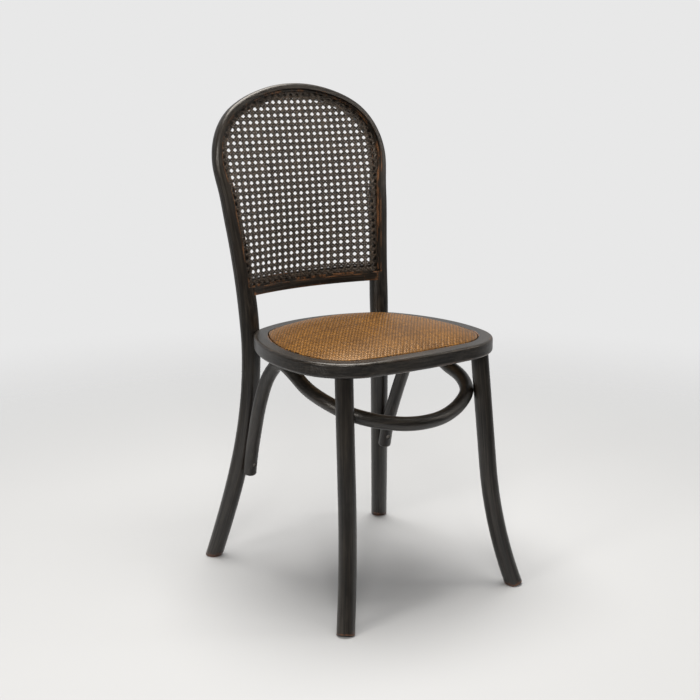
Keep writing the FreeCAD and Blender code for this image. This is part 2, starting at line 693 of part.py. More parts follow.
brace_right = [Vector(*point) for point in BRACE_ROUTE]
brace_path = rounded_path(brace_right + [flip(point) for point in reversed(brace_right)], 0.94)
brace_start = (brace_right[1] - brace_right[0]).normalize()
brace_ring = Part.Wire(Part.Circle(brace_right[0], brace_start, size("brace_dia") / 2).toShape())
brace_rod = brace_path.makePipeShell([brace_ring], True, False)
END_EDGES = [edge for edge in brace_rod.Edges
             if hasattr(edge.Curve, "Radius") and edge.BoundBox.ZMax < brace_right[0].z + 8]
brace = doc.addObject("Part::Feature", "brace_blank")
brace.Shape = brace_rod.makeFillet(size("brace_round"), END_EDGES)
brace_points = brace_path.discretize(600)
brace_points = [point for point in brace_points if point.x > 0]

# Fastenings, each drawn once with its head at the origin and its tip along +Z


def add_profile(sketch, rows):
    """A closed outline; each corner is x, y and the formulas that set them."""
    add_polygon(sketch, [(x, y) for x, y, x_words, y_words in rows])
    count = len(rows)
    for i, (x, y, x_words, y_words) in enumerate(rows):
        sketch.addConstraint(Sketcher.Constraint("Coincident", i, 2, (i + 1) % count, 1))
        for value, words, kind, axis in ((x, x_words, "DistanceX", -2), (y, y_words, "DistanceY", -1)):
            if value == 0:
                sketch.addConstraint(Sketcher.Constraint("PointOnObject", i, 1, axis))
            else:
                at = sketch.addConstraint(Sketcher.Constraint(kind, -1, 1, i, 1, value))
                bind(sketch, "Constraints[%d]" % at, words)


def turned(label, rows):
    body = new_body(label)
    sketch = new_sketch(body, label + "_profile", "XZ_Plane")
    add_profile(sketch, rows)
    feature = body.newObject("PartDesign::Revolution", label + "_turned")
    feature.Profile = sketch
    feature.ReferenceAxis = (sketch, ["V_Axis"])
    feature.Angle = 360
    doc.recompute()
    return body


def screw(label, long_alias):
    shank, head, long = size("screw_dia") / 2, size("screw_head") / 2, size(long_alias)
    neck = head - shank
    return turned(label, [
        (0, 0, None, None),
        (head, 0, "$screw_head / 2", None),
        (shank, neck, "$screw_dia / 2", "($screw_head - $screw_dia) / 2"),
        (shank, long - 2 * shank, "$screw_dia / 2", "$%s - $screw_dia" % long_alias),
        (0, long, None, "$%s" % long_alias)])


def group(label, master, places):
    """Several copies of one fastening as separate solids under one name."""
    links = []
    for i, place in enumerate(places):
        link = doc.addObject("App::Link", "%s_%d" % (label, i + 1))
        link.LinkedObject = master
        link.Placement = place
        links.append(link)
    node = doc.addObject("Part::Compound", label)
    node.Links = links
    doc.recompute()
    return node


def aimed(point, direction):
    return Placement(point, Rotation(Z_AXIS, direction))


def both_sides(point, direction):
    return [aimed(point, direction), aimed(flip(point), flip(direction))]


# Bolts that hold the rear legs to the ring, from inside the ring

leg_at_bolt = Vector(leg_view.value(size("bolt_up")).x, set_back(size("bolt_up")), 0)
BOLT_WAY = (leg_at_bolt - BACK_CORNER_C).normalize()
INNER_RADIUS = size("back_corner") - size("ring_band")
sink_floor = BACK_CORNER_C + BOLT_WAY * (INNER_RADIUS + size("bolt_sink")) + Z_AXIS * size("bolt_up")

bolt = new_body("bolt_master")
head_plan = new_sketch(bolt, "bolt_head", offset=Placement(Vector(0, 0, 0), Rotation()))
across = size("hex_flats") / math.sqrt(3)
add_polygon(head_plan, [(across * math.cos(math.pi * i / 3), across * math.sin(math.pi * i / 3))
                        for i in range(6)])
pad(bolt, head_plan, "$hex_high", True)
shank_plan = new_sketch(bolt, "bolt_shank")
add_circle(shank_plan, Vector(), "$bolt_dia", size("bolt_dia") / 2)
pad(bolt, shank_plan, "$bolt_long")
washer = turned("washer_master", [
    (size("bolt_dia") / 2, 0, "$bolt_dia / 2", None),
    (size("washer_dia") / 2, 0, "$washer_dia / 2", None),
    (size("washer_dia") / 2, size("washer_thick"), "$washer_dia / 2", "$washer_thick"),
    (size("bolt_dia") / 2, size("washer_thick"), "$bolt_dia / 2", "$washer_thick")])
washer_at = sink_floor - BOLT_WAY * size("washer_thick")
bolts = group("seat_bolts", bolt, both_sides(washer_at, BOLT_WAY))
washers = group("seat_bolt_washers", washer, both_sides(washer_at, BOLT_WAY))
sink = doc.addObject("Part::Cylinder", "bolt_sink")
bind(sink, "Radius", "$washer_dia / 2 + 1")
bind(sink, "Height", "$bolt_sink + 12")
sinks = group("bolt_sinks", sink, both_sides(sink_floor - BOLT_WAY * (size("bolt_sink") + 12), BOLT_WAY))

# Dowels in the ends of the lower rail

dowel = doc.addObject("Part::Cylinder", "dowel_master")
bind(dowel, "Radius", "$dowel_dia / 2")
bind(dowel, "Height", "$dowel_long")
dowel_at = Vector(INNER_HALF - size("dowel_long") / 2, RAIL_FRONT + size("rail_deep") * 0.6,
                  size("rail_up") + size("rail_lip") / 2)
dowels = group("rail_dowels", dowel, both_sides(dowel_at, X_AXIS))

# Screws of the brace: into the rear legs, the ring and the front legs

brace_screw = screw("brace_screw_master", "screw_long")
HALF_ROD = size("brace_dia") / 2
rear_run = [point for point in brace_points if point.y > 60]
low_point = min(rear_run, key=lambda point: abs(point.z - size("end_screw_up")))
leg_centre = Vector(leg_view.value(low_point.z).x, set_back(low_point.z), low_point.z)
low_way = (leg_centre - low_point).normalize()
HEAD_IN = HALF_ROD - size("screw_sink")
end_places = both_sides(low_point - low_way * HEAD_IN, low_way)
end_screws = group("brace_rear_screws", brace_screw, end_places)
top_point = max(brace_points, key=lambda p: p.z)
top_places = both_sides(top_point - Z_AXIS * HEAD_IN, Z_AXIS)
top_screws = group("brace_ring_screws", brace_screw, top_places)


def front_leg_centre(up):
    """Centre of the right front leg at a height in its straight part."""
    drop = RING_FOOT - up
    return Vector(size("leg_top_side") + drop * math.tan(math.radians(size("leg_lean_side"))),
                  -size("leg_top_ahead") - drop * math.tan(math.radians(size("leg_lean_ahead"))), up)


near_point = min(brace_points, key=lambda p: (p - front_leg_centre(p.z)).Length)
near_way = (front_leg_centre(near_point.z) - near_point).normalize()
front_places = both_sides(near_point - near_way * HEAD_IN, near_way)
front_screws = group("brace_front_screws", brace_screw, front_places)
counterbore = doc.addObject("Part::Cylinder", "screw_counterbore")
bind(counterbore, "Radius", "$screw_head / 2 + $fit")
bind(counterbore, "Height", "$screw_sink + 4")
COUNTERBORE_OUT = Placement(Vector(0, 0, -size("screw_sink") - 4), Rotation())
counterbores = group("brace_counterbores", counterbore,
                     [place.multiply(COUNTERBORE_OUT) for place in end_places + top_places + front_places])

# Screws up through the ledge into the seat board, with their counterbores

board_screw = screw("board_screw_master", "board_screw_long")
SCREW_INSET = size("ring_band") - 5.5
SCREW_FOOT = BOARD_TOP - 1.4 - size("board_screw_long")
board_places = []
for index, share in ((2, 0.2), (2, 0.85), (6, 0.15), (6, 0.8)):
    centre, alias, radius, start, end = seat_arcs(SCREW_INSET)[index]
    angle = start + (end - start) * share
    board_places.append(Placement(Vector(centre.x + radius * math.cos(angle),
                                         centre.y + radius * math.sin(angle), SCREW_FOOT), Rotation()))
board_screws = group("seat_board_screws", board_screw, board_places)
bore = doc.addObject("Part::Cylinder", "board_screw_bore")
bind(bore, "Radius", "$screw_head / 2 + 0.5")
bore.Height = SCREW_FOOT - RING_FOOT + 1
bores = group("board_screw_bores", bore,
              [Placement(Vector(p.Base.x, p.Base.y, RING_FOOT - 1), Rotation()) for p in board_places])

# Staples that hold the cover's turned edge to the underside of the board

STAPLE_WIDE, STAPLE_WIRE, STAPLE_LEG = 10, 0.9, 4.5
crown_bar = doc.addObject("Part::Box", "staple_crown")
crown_bar.Length, crown_bar.Width, crown_bar.Height = STAPLE_WIDE, STAPLE_WIRE, STAPLE_WIRE
crown_bar.Placement.Base = Vector(-STAPLE_WIDE / 2, -STAPLE_WIRE / 2, 0)
staple_bars = [crown_bar]
for way in (1, -1):
    prong = doc.addObject("Part::Box", "staple_prong")
    prong.Length, prong.Width, prong.Height = STAPLE_WIRE, STAPLE_WIRE, STAPLE_LEG
    prong.Placement.Base = Vector(way * (STAPLE_WIDE - STAPLE_WIRE) / 2 - STAPLE_WIRE / 2,
                                  -STAPLE_WIRE / 2, 0)
    staple_bars.append(prong)
staple = doc.addObject("Part::MultiFuse", "staple_master")
staple.Shapes = staple_bars
doc.recompute()
staple_places = []
for index, (centre, alias, radius, start, end) in enumerate(seat_arcs(BOARD_INSET + size("cover_turn") / 2)):
    for share in (0.25, 0.75):
        angle = start + (end - start) * share
        point = Vector(centre.x + radius * math.cos(angle), centre.y + radius * math.sin(angle), LEDGE_UP)
        staple_places.append(Placement(point, Rotation(Z_AXIS, math.degrees(angle) + 90)))
staples = group("cover_staples", staple, staple_places)


# Finished pieces: each blank less the holes for what goes through it

def finished(label, base, tools):
    holes = doc.addObject("Part::Compound", label + "_holes")
    holes.Links = tools
    node = doc.addObject("Part::Cut", label)
    node.Label = label
    node.Base = base
    node.Tool = holes
    node.Refine = True
    return node


pieces = [
    finished("back_hoop", hoop_blank, [bolts, dowels, end_screws]),
    finished("back_lower_rail", rail, [hoop_blank, dowels]),
    cane,
    strip_arch,
    strip_rail,
    dowels,
    finished("seat_ring", ring, [bolts, sinks, top_screws, board_screws, bores]),
    finished("seat_board", board, [board_screws, staples]),
    pad_piece,
    finished("seat_woven_cover", cover_blank, [staples]),
    staples,
    board_screws,
    finished("front_leg_right", leg_right, [front_screws]),
    finished("front_leg_left", leg_left, [front_screws]),
    finished("leg_brace", brace, [end_screws, top_screws, front_screws, counterbores]),
    bolts,
    washers,
    end_screws,
    top_screws,
    front_screws,
]
doc.recompute()

for item in doc.Objects:
    if "Invalid" in item.State or "Error" in item.State:
        raise RuntimeError("%s failed: %s" % (item.Label, item.State))
for piece in pieces:
    shape = piece.Shape
    if shape.isNull() or not shape.isValid():
        raise RuntimeError(piece.Label + " has no valid shape")
    print("%-20s solids %2d volume %9.0f" % (piece.Label, len(shape.Solids), shape.Volume))

gap_rear = min((point - Vector(leg_view.value(point.z).x, set_back(point.z), point.z)).Length
               - HALF_ROD - hoop_section(point.z)[0] / 2 for point in brace_points if point.z < RING_FOOT)
gap_front = (near_point - front_leg_centre(near_point.z)).Length - HALF_ROD - size("leg_dia") / 2
print("brace to rear leg %.2f, to front leg %.2f, under the ring %.2f" % (
    gap_rear, gap_front, RING_FOOT - top_point.z - HALF_ROD))

os.makedirs("parts", exist_ok=True)
for piece in pieces:
    piece.Shape.exportStep("parts/%s.step" % piece.Label)
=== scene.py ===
import bpy
import bmesh
import math
import random
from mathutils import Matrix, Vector, noise
from mathutils.bvhtree import BVHTree


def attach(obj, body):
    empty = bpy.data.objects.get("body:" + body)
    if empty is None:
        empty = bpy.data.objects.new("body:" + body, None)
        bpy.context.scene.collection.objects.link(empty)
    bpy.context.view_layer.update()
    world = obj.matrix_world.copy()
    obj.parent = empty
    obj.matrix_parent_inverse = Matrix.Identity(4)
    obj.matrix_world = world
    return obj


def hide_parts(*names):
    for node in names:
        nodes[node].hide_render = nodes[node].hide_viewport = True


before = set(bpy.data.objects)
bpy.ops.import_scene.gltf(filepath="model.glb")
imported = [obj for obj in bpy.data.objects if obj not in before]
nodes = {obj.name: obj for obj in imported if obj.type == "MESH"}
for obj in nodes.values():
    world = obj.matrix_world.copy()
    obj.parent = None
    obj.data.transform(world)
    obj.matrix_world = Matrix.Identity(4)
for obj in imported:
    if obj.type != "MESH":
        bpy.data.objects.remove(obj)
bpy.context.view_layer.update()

# Studio: a pale floor that fades into a plain light background, a large soft light overhead,
# weaker ones in front and at each side, and the camera where the chair was photographed from.

FLOOR_REACH = 2.2
FLOOR_FADE = 0.6
FLOOR_TONE = (0.50, 0.525, 0.56, 1)
BACKGROUND_TONE = 0.807
LIGHT_TINT = (1.0, 0.935, 0.85)
AIR_BRIGHT_TOWARD = (0.57, 0.82, 0.10)
AIR_DARKEST = 0.05
AIR_GAIN = 0.42
CAMERA_AT = (-1.3452, -1.9132, 0.9847)
CAMERA_LENS = 67.82
CAMERA_ABOVE = 13.50
CAMERA_ROUND = 34.66


def add(tree, kind, **settings):
    """A shader node with its properties set."""
    made = tree.nodes.new(kind)
    for key, value in settings.items():
        setattr(made, key, value)
    return made


def join(tree, source, target, socket):
    """Links an output socket to a node's input."""
    tree.links.new(source, target.inputs[socket])


def calc(tree, operation, *values):
    """A math node over sockets and plain numbers; gives its output socket."""
    made = add(tree, "ShaderNodeMath", operation=operation)
    for slot, value in enumerate(values):
        if isinstance(value, (int, float)):
            made.inputs[slot].default_value = value
        else:
            tree.links.new(value, made.inputs[slot])
    return made.outputs[0]


def fade(tree, value, start, end):
    """Nought at start and one at end, smoothly."""
    made = add(tree, "ShaderNodeMapRange", interpolation_type="SMOOTHSTEP")
    tree.links.new(value, made.inputs["Value"])
    made.inputs["From Min"].default_value = start
    made.inputs["From Max"].default_value = end
    return made.outputs["Result"]


disc = bmesh.new()
bmesh.ops.create_circle(disc, cap_ends=True, segments=96, radius=FLOOR_REACH)
floor_mesh = bpy.data.meshes.new("studio_floor")
disc.to_mesh(floor_mesh)
disc.free()
studio_floor = bpy.data.objects.new("studio_floor", floor_mesh)
bpy.context.scene.collection.objects.link(studio_floor)

floor_paint = bpy.data.materials.new("floor_paint")
floor_paint.use_nodes = True
tree = floor_paint.node_tree
floor_place = add(tree, "ShaderNodeTexCoord").outputs["Object"]
floor_reach = add(tree, "ShaderNodeVectorMath", operation="LENGTH")
join(tree, floor_place, floor_reach, 0)
shader = tree.nodes["Principled BSDF"]
shader.inputs["Base Color"].default_value = FLOOR_TONE
shader.inputs["Roughness"].default_value = 0.9
shader.inputs["Specular IOR Level"].default_value = 0.1
join(tree, fade(tree, floor_reach.outputs["Value"], FLOOR_REACH, FLOOR_FADE), shader, "Alpha")
floor_mesh.materials.append(floor_paint)

studio_air = bpy.data.worlds.new("studio_air")
studio_air.use_nodes = True
tree = studio_air.node_tree
facing = add(tree, "ShaderNodeVectorMath", operation="DOT_PRODUCT")
join(tree, add(tree, "ShaderNodeTexCoord").outputs["Generated"], facing, 0)
facing.inputs[1].default_value = AIR_BRIGHT_TOWARD
behind = calc(tree, "MULTIPLY_ADD", fade(tree, facing.outputs["Value"], -0.1, 0.85), AIR_GAIN,
              AIR_DARKEST)
seen = add(tree, "ShaderNodeLightPath").outputs["Is Camera Ray"]
lift = calc(tree, "MULTIPLY", seen, calc(tree, "SUBTRACT", BACKGROUND_TONE, behind))
join(tree, calc(tree, "ADD", behind, lift), tree.nodes["Background"], "Strength")
tree.nodes["Background"].inputs["Color"].default_value = (1, 1, 1, 1)
bpy.context.scene.world = studio_air
bpy.context.scene.view_settings.view_transform = "Standard"


def soft_light(name, place, aim, wide, high, watts):
    """A rectangular soft box that faces a point."""
    lamp = bpy.data.lights.new(name, "AREA")
    lamp.shape = "RECTANGLE"
    lamp.size, lamp.size_y = wide, high
    lamp.energy = watts
    lamp.color = LIGHT_TINT
    made = bpy.data.objects.new(name, lamp)
    made.location = place
    made.rotation_euler = (Vector(aim) - Vector(place)).to_track_quat("-Z", "Y").to_euler()
    bpy.context.scene.collection.objects.link(made)


soft_light("overhead_light", (0.1, 0.25, 2.9), (0, 0, 0.3), 1.9, 1.9, 118)
soft_light("front_light", (-1.7, -2.4, 2.4), (0, 0, 0.5), 1.0, 0.8, 42)
soft_light("left_light", (-2.7, -0.5, 1.4), (0, 0, 0.6), 0.7, 1.0, 20)
soft_light("right_light", (2.4, -1.6, 1.9), (0, 0, 0.5), 0.8, 1.6, 12)

camera = bpy.data.objects.new("photo_camera", bpy.data.cameras.new("photo_camera"))
camera.data.sensor_width = 36
camera.data.lens = CAMERA_LENS
camera.location = CAMERA_AT
camera.rotation_euler = (math.radians(90 - CAMERA_ABOVE), 0, math.radians(-CAMERA_ROUND))
bpy.context.scene.collection.objects.link(camera)
bpy.context.scene.camera = camera

# Back hoop: one steamed and bent length of beech from one rear foot over the crown to the other,
# stained near black, with a rebate in its front for the cane. Worn edges show the brown wood.

STAIN_DARK = (0.0042, 0.0034, 0.0027)
STAIN_LIGHT = (0.044, 0.037, 0.030)
BARE_WOOD = (0.30, 0.135, 0.055)
FOOT_BROWN = (0.115, 0.048, 0.028)
PORE_BROWN = (0.006, 0.0052, 0.0045)
EDGE_REACH = 0.0045
GRAIN_DEPTH = 0.00012
FOOT_WORN_UP = 0.022


def blend_colour(tree, amount, first, second):
    """A colour mix; the amount and both colours are sockets or plain values."""
    made = add(tree, "ShaderNodeMix", data_type="RGBA")
    for slot, value in ((0, amount), (6, first), (7, second)):
        if isinstance(value, (int, float)):
            made.inputs[slot].default_value = value
        elif isinstance(value, tuple):
            made.inputs[slot].default_value = (*value, 1)
        else:
            tree.links.new(value, made.inputs[slot])
    return made.outputs[2]


def speckle(tree, vector, scale, detail=2.0, roughness=0.5):
    """Soft noise from nought to one."""
    made = add(tree, "ShaderNodeTexNoise")
    tree.links.new(vector, made.inputs["Vector"])
    made.inputs["Scale"].default_value = scale
    made.inputs["Detail"].default_value = detail
    made.inputs["Roughness"].default_value = roughness
    return made.outputs["Fac"]


def stretched(tree, vector, x, y, z):
    """A place with each direction scaled by its own number."""
    made = add(tree, "ShaderNodeVectorMath", operation="MULTIPLY")
    tree.links.new(vector, made.inputs[0])
    made.inputs[1].default_value = (x, y, z)
    return made.outputs[0]


def new_group(name, inputs, outputs):
    """An empty shader group; inputs and outputs are rows of name and socket kind."""
    group = bpy.data.node_groups.new(name, "ShaderNodeTree")
    for label, kind in inputs:
        group.interface.new_socket(label, in_out="INPUT", socket_type="NodeSocket" + kind)
    for label, kind in outputs:
        group.interface.new_socket(label, in_out="OUTPUT", socket_type="NodeSocket" + kind)
    return group, group.nodes.new("NodeGroupInput"), group.nodes.new("NodeGroupOutput")


# The stain as a shader group: Run is the place in the wood, its Z along the grain

stain, stain_in, stain_out = new_group(
    "bentwood_stain",
    [("Run", "Vector"), ("Wear", "Float"), ("Scuff", "Float")],
    [("Color", "Color"), ("Roughness", "Float"), ("Height", "Float")])
run = stain_in.outputs["Run"]
streak = speckle(stain, stretched(stain, run, 420, 420, 9), 1.0, 4.0, 0.62)
pores = speckle(stain, stretched(stain, run, 1500, 1500, 42), 1.0, 2.0, 0.5)
clouds = speckle(stain, stretched(stain, run, 22, 22, 7), 1.0, 3.0, 0.55)
rubs = speckle(stain, stretched(stain, run, 70, 70, 16), 1.0, 4.0, 0.7)
pore_mask = fade(stain, pores, 0.50, 0.36)
grain_tone = calc(stain, "ADD", calc(stain, "MULTIPLY", fade(stain, streak, 0.40, 0.68), 0.70),
                  calc(stain, "MULTIPLY", fade(stain, clouds, 0.38, 0.66), 0.30))
stained = blend_colour(stain, grain_tone, STAIN_DARK, STAIN_LIGHT)
stained = blend_colour(stain, calc(stain, "MULTIPLY", pore_mask, 0.55), stained, PORE_BROWN)
wear = calc(stain, "MULTIPLY", stain_in.outputs["Wear"], fade(stain, rubs, 0.47, 0.62))
rub_spots = calc(stain, "MULTIPLY", fade(stain, rubs, 0.69, 0.80), fade(stain, streak, 0.45, 0.6))
wear = calc(stain, "MAXIMUM", wear, calc(stain, "MULTIPLY", rub_spots, 0.75))
worn = blend_colour(stain, wear, stained, BARE_WOOD)
scuffed = blend_colour(stain, calc(stain, "MULTIPLY", stain_in.outputs["Scuff"], 0.85), worn, FOOT_BROWN)
join(stain, scuffed, stain_out, "Color")
sheen_lost = calc(stain, "ADD", calc(stain, "MULTIPLY", streak, 0.16), calc(stain, "MULTIPLY", wear, 0.2))
join(stain, calc(stain, "ADD", sheen_lost, 0.23), stain_out, "Roughness")
join(stain, calc(stain, "SUBTRACT", calc(stain, "MULTIPLY", streak, 0.5), pore_mask), stain_out, "Height")

# Worn edges as a shader group: where the surface turns sharply within a few millimetres

edges, _, edges_out = new_group("worn_edges", [], [("Mask", "Float")])
eased = add(edges, "ShaderNodeBevel", samples=4)
eased.inputs["Radius"].default_value = EDGE_REACH
true_face = add(edges, "ShaderNodeNewGeometry")
turn = add(edges, "ShaderNodeVectorMath", operation="DOT_PRODUCT")
join(edges, eased.outputs[0], turn, 0)
join(edges, true_face.outputs["Normal"], turn, 1)
join(edges, fade(edges, turn.outputs["Value"], 0.985, 0.90), edges_out, "Mask")


def place_in_piece(tree):
    """The place in the chair's own frame, as X, Y and Z sockets."""
    place = add(tree, "ShaderNodeTexCoord").outputs["Object"]
    parts = add(tree, "ShaderNodeSeparateXYZ")
    tree.links.new(place, parts.inputs[0])
    return parts.outputs[0], parts.outputs[1], parts.outputs[2]


def gather(tree, x, y, z):
    """One vector from three sockets or plain numbers."""
    made = add(tree, "ShaderNodeCombineXYZ")
    for slot, value in enumerate((x, y, z)):
        if isinstance(value, (int, float)):
            made.inputs[slot].default_value = value
        else:
            tree.links.new(value, made.inputs[slot])
    return made.outputs[0]


def stained_wood(name, run_of, worn_share=1.0, gloss=0.15):
    """Satin stained wood; run_of gives the grain's own coordinates in the piece."""
    material = bpy.data.materials.new(name)
    material.use_nodes = True
    tree = material.node_tree
    shader = tree.nodes["Principled BSDF"]
    x, y, z = place_in_piece(tree)
    stain_node = add(tree, "ShaderNodeGroup", node_tree=stain)
    edge_node = add(tree, "ShaderNodeGroup", node_tree=edges)
    join(tree, run_of(tree, x, y, z), stain_node, "Run")
    join(tree, calc(tree, "MULTIPLY", edge_node.outputs["Mask"], worn_share), stain_node, "Wear")
    ragged = speckle(tree, gather(tree, x, y, z), 120)
    join(tree, fade(tree, calc(tree, "ADD", z, calc(tree, "MULTIPLY", ragged, 0.02)),
                    FOOT_WORN_UP, 0.006), stain_node, "Scuff")
    join(tree, stain_node.outputs["Color"], shader, "Base Color")
    join(tree, stain_node.outputs["Roughness"], shader, "Roughness")
    bump = add(tree, "ShaderNodeBump")
    bump.inputs["Strength"].default_value = 0.6
    bump.inputs["Distance"].default_value = GRAIN_DEPTH
    join(tree, stain_node.outputs["Height"], bump, "Height")
    join(tree, bump.outputs[0], shader, "Normal")
    shader.inputs["Coat Weight"].default_value = gloss
    shader.inputs["Coat Roughness"].default_value = 0.25
    return material


def finish_with(piece, material):
    """Gives a piece one material, in place of any it had."""
    piece.data.materials.clear()
    piece.data.materials.append(material)


SHOULDER_UP = 0.7565
SHOULDER_ARC = 0.107
SHOULDER_SIDE = 0.068
WAIST_UP = 0.42
SIDE_BOW = 0.29
LEAN_FROM = 0.40
BACK_BOW = 0.42


def hoop_run(tree, x, y, z):
    """Up the leg to the shoulder, then round it and across the crown."""
    side = calc(tree, "ABSOLUTE", x)
    low = calc(tree, "MINIMUM", z, SHOULDER_UP)
    lean_x = calc(tree, "SUBTRACT", low, WAIST_UP)
    lean_y = calc(tree, "SUBTRACT", z, LEAN_FROM)
    leg_x = calc(tree, "MULTIPLY", calc(tree, "MULTIPLY", lean_x, lean_x), SIDE_BOW)
    leg_y = calc(tree, "MULTIPLY", calc(tree, "MULTIPLY", lean_y, lean_y), BACK_BOW)
    held = calc(tree, "MINIMUM", side, SHOULDER_SIDE)
    out = calc(tree, "SUBTRACT", side, held)
    over = calc(tree, "MAXIMUM", calc(tree, "SUBTRACT", z, SHOULDER_UP), 0.0)
    reach = calc(tree, "SQRT", calc(tree, "ADD", calc(tree, "MULTIPLY", out, out),
                                    calc(tree, "MULTIPLY", over, over)))
    across = calc(tree, "SUBTRACT", reach, calc(tree, "ADD", leg_x, SHOULDER_ARC - 0.03))
    arc = calc(tree, "MULTIPLY", calc(tree, "ARCTAN2", over, out), SHOULDER_ARC)
    along = calc(tree, "ADD", calc(tree, "ADD", low, arc), calc(tree, "SUBTRACT", SHOULDER_SIDE, held))
    return gather(tree, across, calc(tree, "SUBTRACT", y, leg_y), along)


hoop_wood = stained_wood("hoop_stained_beech", hoop_run)
finish_with(nodes["back_hoop"], hoop_wood)

# Lower rail of the back: a bowed beech rail let in between the two uprights on dowels, with a
# ledge along its top for the foot of the cane.

RAIL_BOW = 1.38


def rail_run(tree, x, y, z):
    """Along the rail from side to side, with its bow taken out."""
    bow = calc(tree, "MULTIPLY", calc(tree, "MULTIPLY", x, x), RAIL_BOW)
    return gather(tree, calc(tree, "ADD", y, bow), z, x)


finish_with(nodes["back_lower_rail"], stained_wood("rail_stained_beech", rail_run))

# Dowels of the rail: plain turned beech pegs, left unstained. They are glued into blind holes in
# the rail's ends and in the uprights.

raw_beech = bpy.data.materials.new("raw_beech_dowel")
raw_beech.use_nodes = True
tree = raw_beech.node_tree
shader = tree.nodes["Principled BSDF"]
x, y, z = place_in_piece(tree)
rays = speckle(tree, stretched(tree, gather(tree, x, y, z), 30, 900, 900), 1.0, 4.0, 0.6)
join(tree, blend_colour(tree, fade(tree, rays, 0.35, 0.65), (0.45, 0.27, 0.14), (0.70, 0.49, 0.30)),
     shader, "Base Color")
shader.inputs["Roughness"].default_value = 0.6
finish_with(nodes["rail_dowels"], raw_beech)

# Cane of the back: stained rattan cane in the six-way weave, pairs of upright and level strands
# and one strand on each slant, pressed into the rebate. Its lattice drifts a little, as in hand work.

HOLE_PITCH = 0.01372
ROW_PITCH = 0.01216
PAIR_HALF = 0.00150
STRAND_WIDE = 0.0026
SLANT_WIDE = 0.0029
STRAND_THICK = 0.0005
PAIR_LIFT = 0.0003
SLANT_LIFT = 0.00075
SLANT_SNAP = 2.2
SHEET_HALF = 0.00075
CANE_FRONT_Y = -1.0
FIRST_HOLE = (-0.0049, 0.6921)
LEAN_OF_COLUMNS = (0.000165, -0.0000112)
DROOP_OF_ROWS = (-0.000102, 0.0000067)
ROW_CLOSING = -0.000012
CROWN_SHARE = 0.45
EDGE_SHARE = 0.3

panel = nodes["back_cane_panel"]
panel_faces = [tuple(p.vertices) for p in panel.data.polygons]
panel_skin = BVHTree.FromPolygons([v.co.copy() for v in panel.data.vertices], panel_faces)


def cane_place(column, row):
    """Where the lattice lies on the sheet; whole numbers are the middles of the holes."""
    x = FIRST_HOLE[0] + HOLE_PITCH * column + LEAN_OF_COLUMNS[0] * row + LEAN_OF_COLUMNS[1] * row * row
    z = (FIRST_HOLE[1] + ROW_PITCH * row + DROOP_OF_ROWS[0] * column + ROW_CLOSING * row * row
         + DROOP_OF_ROWS[1] * column * column)
    return x, z


def on_sheet(column, row):
    """The point of the sheet's middle and its forward normal, or nothing beside the sheet."""
    x, z = cane_place(column, row)
    place, normal, _, _ = panel_skin.ray_cast(Vector((x, CANE_FRONT_Y, z)), Vector((0, 1, 0)))
    if place is None or abs(normal.y) < 0.5:
        return None
    if normal.y > 0:
        normal = -normal
    return place - normal * SHEET_HALF, normal


cane_verts, cane_faces, cane_tones = [], [], []
cane_rows = random.Random(11)


def weave_strand(path, lift, wide):
    """One ribbon along a lattice path; lift says how far it stands forward at each step."""
    half, thick = wide / 2, STRAND_THICK / 2
    section = [(-half, -thick), (half, -thick), (half, thick * EDGE_SHARE), (half * CROWN_SHARE, thick),
               (-half * CROWN_SHARE, thick), (-half, thick * EDGE_SHARE)]
    tone = cane_rows.uniform(0.0, 1.0)
    run_points = []

    def close_run():
        """Lays the section along the points gathered so far and caps both ends."""
        count = len(run_points)
        if count < 4:
            return
        first = len(cane_verts)
        for i, (centre, normal) in enumerate(run_points):
            before = run_points[max(i - 1, 0)][0]
            after = run_points[min(i + 1, count - 1)][0]
            ahead = (after - before).normalized()
            beside = ahead.cross(normal).normalized()
            for e, n in section:
                cane_verts.append(centre + beside * e + normal * n)
                cane_tones.append(tone)
        size = len(section)
        for i in range(count - 1):
            for k in range(size):
                a, b = first + i * size + k, first + i * size + (k + 1) % size
                cane_faces.append((a, b, b + size, a + size))
        cane_faces.append(tuple(first + k for k in reversed(range(size))))
        cane_faces.append(tuple(first + (count - 1) * size + k for k in range(size)))

    for (column, row), out in zip(path, lift):
        found = on_sheet(column, row)
        if found is None:
            close_run()
            run_points = []
            continue
        run_points.append((found[0] + found[1] * out, found[1]))
    close_run()


def pair_wave(place, pitch, sign):
    """Under one and over the next of a crossing pair, level again between the pairs."""
    off = (place - math.floor(place) - 0.5) * pitch
    if abs(off) <= PAIR_HALF:
        return -sign * PAIR_LIFT * off / PAIR_HALF
    return -sign * PAIR_LIFT * math.copysign((pitch / 2 - abs(off)) / (pitch / 2 - PAIR_HALF), off)


def slant_wave(place, sign):
    """Over a level pair and under an upright pair by turns."""
    swing = math.tanh(SLANT_SNAP * math.cos(2 * math.pi * (place - 0.5)))
    return sign * SLANT_LIFT * swing / math.tanh(SLANT_SNAP)


